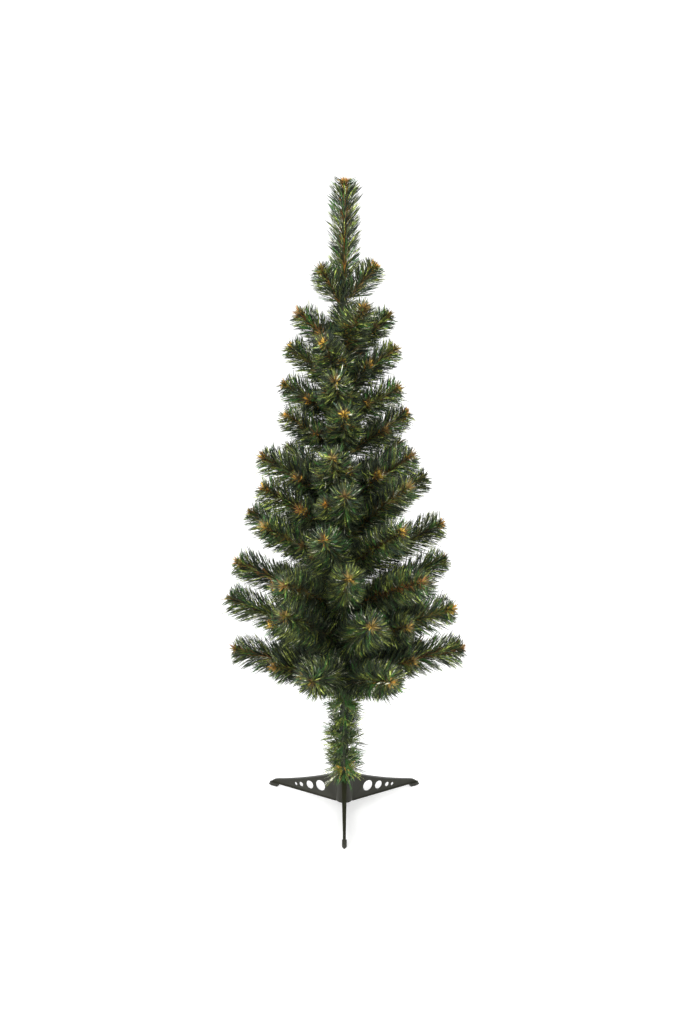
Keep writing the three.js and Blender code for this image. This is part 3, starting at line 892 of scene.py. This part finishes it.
def prism(name, outline, low, high, place):
    """An outline drawn out between two values of its third axis, put in place by a function."""
    count = len(outline)
    points = [place(u, v, w) for w in (low, high) for u, v in outline]
    faces = [tuple(range(count)), tuple(range(2 * count - 1, count - 1, -1))]
    for j in range(count):
        k = (j + 1) % count
        faces.append((j, k, count + k, count + j))
    return solid_piece(name, points, faces)


def circle(u, v, radius, sides):
    """The points of a circle round a centre, as an outline."""
    turns = [2 * math.pi * j / sides for j in range(sides)]
    return [(u + radius * math.cos(t), v + radius * math.sin(t)) for t in turns]


def standing(u, v, w):
    """A leg's own plane: out along -Y, up along Z, and its thickness along X."""
    return (w, -u, v)


def lying(u, v, w):
    """The floor's plane, with the thickness along Z."""
    return (u, v, w)


def radial_box(name, inner, outer, width, low, high):
    """A box that reaches out from the pole's axis along -Y."""
    outline = [(inner, low), (outer, low), (outer, high), (inner, high)]
    return prism(name, outline, -width / 2, width / 2, standing)


def turned_to(piece, heading):
    piece.data.transform(Matrix.Rotation(math.radians(heading), 4, "Z"))
    return piece


def combine(piece, other, operation):
    """Joins or cuts a piece with another, which is then gone."""
    step = piece.modifiers.new(operation, "BOOLEAN")
    step.operation = operation
    step.solver = "EXACT"
    step.object = other
    bake_modifiers(piece)
    bpy.data.objects.remove(other)
    return piece


def bake_modifiers(piece):
    shown = piece.evaluated_get(bpy.context.evaluated_depsgraph_get())
    mesh = bpy.data.meshes.new_from_object(shown)
    piece.modifiers.clear()
    piece.data = mesh


def quadratic(start, pull, end, steps):
    """A curve that leaves its start, and reaches its end, in the direction of the pull."""
    shares = [i / steps for i in range(steps + 1)]
    return [
        tuple(
            lerp(lerp(a, b, share), lerp(b, c, share), share)
            for a, b, c in zip(start, pull, end)
        )
        for share in shares
    ]


def leg_crest():
    """A leg's upper edge: hollow from the hub to the shoulder, then round the toe."""
    root = (HUB_RADIUS - SLOT_DEPTH + GAP, HUB_TOP_Z)
    arch = quadratic(root, LEG_SAG, LEG_SHOULDER, CREST_STEPS)
    nose = quadratic(LEG_SHOULDER, TOE_BROW, (LEG_REACH, 0), TOE_STEPS)
    return arch + nose[1:]


def foot_plan(start):
    """The foot's outline seen from above, with a rounded front."""
    half = FOOT_WIDTH / 2
    nose = LEG_REACH - TOE_POINT - FOOT_NOSE
    turns = [math.pi * step / NOSE_STEPS for step in range(NOSE_STEPS + 1)]
    front = [(half * math.cos(t), -nose - FOOT_NOSE * math.sin(t)) for t in turns]
    return [(half, -start), *front, (-half, -start)]


def leg_flange(name, edge, thickness, widths):
    """A flange along an edge of the leg, to the right of the edge's way out."""
    points = []
    corners = 4
    for i, (out, up) in enumerate(edge):
        before, after = edge[max(0, i - 1)], edge[min(len(edge) - 1, i + 1)]
        along = Vector((after[0] - before[0], after[1] - before[1])).normalized()
        inner_out = max(out + along.y * thickness, LEG_CLEAR_OUT)
        inner_up = up - along.x * thickness
        half = lerp(*widths, out / LEG_REACH) / 2
        points += [
            (half, -inner_out, inner_up),
            (half, -out, up),
            (-half, -out, up),
            (-half, -inner_out, inner_up),
        ]
    last = len(points) - corners
    faces = [tuple(range(corners)), tuple(range(last, len(points)))]
    for first in range(0, last, corners):
        for j in range(corners):
            k = (j + 1) % corners
            faces.append((first + j, first + k, first + corners + k, first + corners + j))
    return solid_piece(name, points, faces)


def finish_moulding(piece, material, node):
    """Rounds a stand piece's edges and puts it in its CAD node's place."""
    rounding = piece.modifiers.new("rounded_edges", "BEVEL")
    rounding.width = EDGE_ROUNDING * MM
    rounding.segments = EDGE_SEGMENTS
    rounding.limit_method = "ANGLE"
    rounding.angle_limit = SHARP_ANGLE
    bake_modifiers(piece)
    piece.data.shade_smooth()
    piece.data.set_sharp_from_angle(angle=SHARP_ANGLE)
    piece.data.materials.clear()
    piece.data.materials.append(material)
    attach(piece, "root")
    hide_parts(node)


def make_leg(side, heading, material):
    """A leg: its web with a flange above, a bead below, a foot, and its holes."""
    crest = leg_crest()
    root = crest[0]
    foot_start = LEG_REACH - FOOT_LENGTH
    sole = [(foot_start, LEG_CLEARANCE[1]), (LEG_CLEAR_OUT, LEG_CLEARANCE[0])]
    outline = [(root[0], LEG_CLEARANCE[0]), *sole[::-1], (foot_start, 0), *crest[::-1]]
    leg = prism(f"moulded_leg_{side}", outline, -LEG_WEB / 2, LEG_WEB / 2, standing)
    outside = [p for p in crest if p[0] > LEG_CLEAR_OUT and p[1] > FLANGE_END_Z]
    slope = (outside[0][1] - root[1]) / (outside[0][0] - root[0])
    ridge = [(LEG_CLEAR_OUT, root[1] + slope * (LEG_CLEAR_OUT - root[0])), *outside]
    combine(leg, leg_flange("flange", ridge, FLANGE_THICKNESS, FLANGE_WIDTH), "UNION")
    combine(leg, leg_flange("bead", sole, BEAD_HEIGHT, BEAD_WIDTH), "UNION")
    pad = prism("pad", foot_plan(foot_start), 0, FOOT_HEIGHT, lying)
    combine(leg, pad, "UNION")
    for out, up, radius in LEG_HOLES:
        outline = circle(out, up, radius, HOLE_SIDES)
        combine(leg, prism("hole", outline, -HOLE_REACH, HOLE_REACH, standing), "DIFFERENCE")
    lock = circle(0, -LOCK_HOLE_OUT, LOCK_HOLE_RADIUS, HOLE_SIDES)
    cut = prism("lock", lock, LOCK_HOLE_BOTTOM_Z, HUB_TOP_Z + CUT_PAST, lying)
    combine(leg, cut, "DIFFERENCE")
    turned_to(leg, heading)
    finish_moulding(leg, material, f"stand_leg_{side}")


def make_hub(material):
    """The hub: a socket for the pole, with a ribbed slot and a notch for each leg."""
    body = circle(0, 0, HUB_RADIUS, HUB_SIDES)
    hub = prism("moulded_hub", body, HUB_BOTTOM_Z, HUB_TOP_Z, lying)
    inside = HUB_RADIUS - SLOT_DEPTH
    proud = HUB_RADIUS + RIB_PROUD
    ribbed = SLOT_WIDTH + 2 * RIB_WIDTH
    for heading in LEG_HEADINGS.values():
        low, high = HUB_BOTTOM_Z + RIB_SHORT, HUB_TOP_Z - RIB_SHORT
        rib = radial_box("rib", inside, proud, ribbed, low, high)
        combine(hub, turned_to(rib, heading), "UNION")
    bore = circle(0, 0, HUB_BORE_RADIUS, HUB_SIDES)
    floor_z = HUB_BOTTOM_Z + HUB_FLOOR
    combine(hub, prism("bore", bore, floor_z, HUB_TOP_Z + CUT_PAST, lying), "DIFFERENCE")
    for heading in LEG_HEADINGS.values():
        low, high = HUB_BOTTOM_Z - CUT_PAST, HUB_TOP_Z + CUT_PAST
        slot = radial_box("slot", inside, proud + CUT_PAST, SLOT_WIDTH, low, high)
        combine(hub, turned_to(slot, heading), "DIFFERENCE")
        notch = radial_box(
            "notch",
            (HUB_BORE_RADIUS + HUB_RADIUS) / 2,
            HUB_RADIUS + CUT_PAST,
            NOTCH_WIDTH,
            HUB_TOP_Z - NOTCH_DEPTH,
            HUB_TOP_Z + CUT_PAST,
        )
        combine(hub, turned_to(notch, heading + NOTCH_HEADING), "DIFFERENCE")
    finish_moulding(hub, material, "stand_hub")


def make_stand():
    material = plain_material("moulded_plastic", PLASTIC_BASE, roughness=0.46, specular=0.4)
    add_mottle(material, PLASTIC_BASE, amount=0.12, scale=38)
    add_grain(material, scale=1400, strength=0.25, distance=0.0003)
    make_hub(material)
    for side, heading in LEG_HEADINGS.items():
        make_leg(side, heading, material)


# Floor, light and camera
def make_floor():
    bpy.ops.mesh.primitive_circle_add(
        vertices=FLOOR_SIDES, radius=FLOOR_RADIUS, fill_type="NGON"
    )
    floor = bpy.context.object
    floor.name = "floor"
    material = plain_material("pale_floor", FLOOR_BASE, roughness=0.8)
    shader = material.node_tree.nodes["Principled BSDF"]
    shader.inputs["Emission Strength"].default_value = FLOOR_GLOW
    floor.data.materials.append(material)


def make_area(name, place, size, power):
    light = bpy.data.lights.new(name, "AREA")
    light.shape = "DISK"
    light.size = size
    light.energy = power
    lamp = bpy.data.objects.new(name, light)
    lamp.location = place
    aim = Vector(LIGHT_TARGET) - Vector(place)
    lamp.rotation_euler = aim.to_track_quat("-Z", "Y").to_euler()
    bpy.context.scene.collection.objects.link(lamp)


def make_lights():
    world = bpy.data.worlds.new("studio")
    world.use_nodes = True
    background = world.node_tree.nodes["Background"]
    background.inputs["Color"].default_value = (1, 1, 1, 1)
    background.inputs["Strength"].default_value = WORLD_STRENGTH
    bpy.context.scene.world = world
    for name, (place, size, power) in LIGHTS.items():
        make_area(name, place, size, power)


def make_camera():
    data = bpy.data.cameras.new("camera")
    data.sensor_width = SENSOR
    data.lens = FOCAL_PIXELS * SENSOR / max(PHOTO_SIZE)
    camera = bpy.data.objects.new("camera", data)
    camera.location = CAMERA_PLACE
    camera.rotation_euler = (math.radians(90 - CAMERA_PITCH), 0, 0)
    bpy.context.scene.collection.objects.link(camera)
    bpy.context.scene.camera = camera


bpy.context.scene.view_settings.view_transform = "Standard"
make_camera()
make_lights()
make_floor()
tree_wires = all_wires()
make_stems(tree_wires)
make_pole()
make_needles(tree_wires)
make_short_needles(tree_wires)
make_stand()
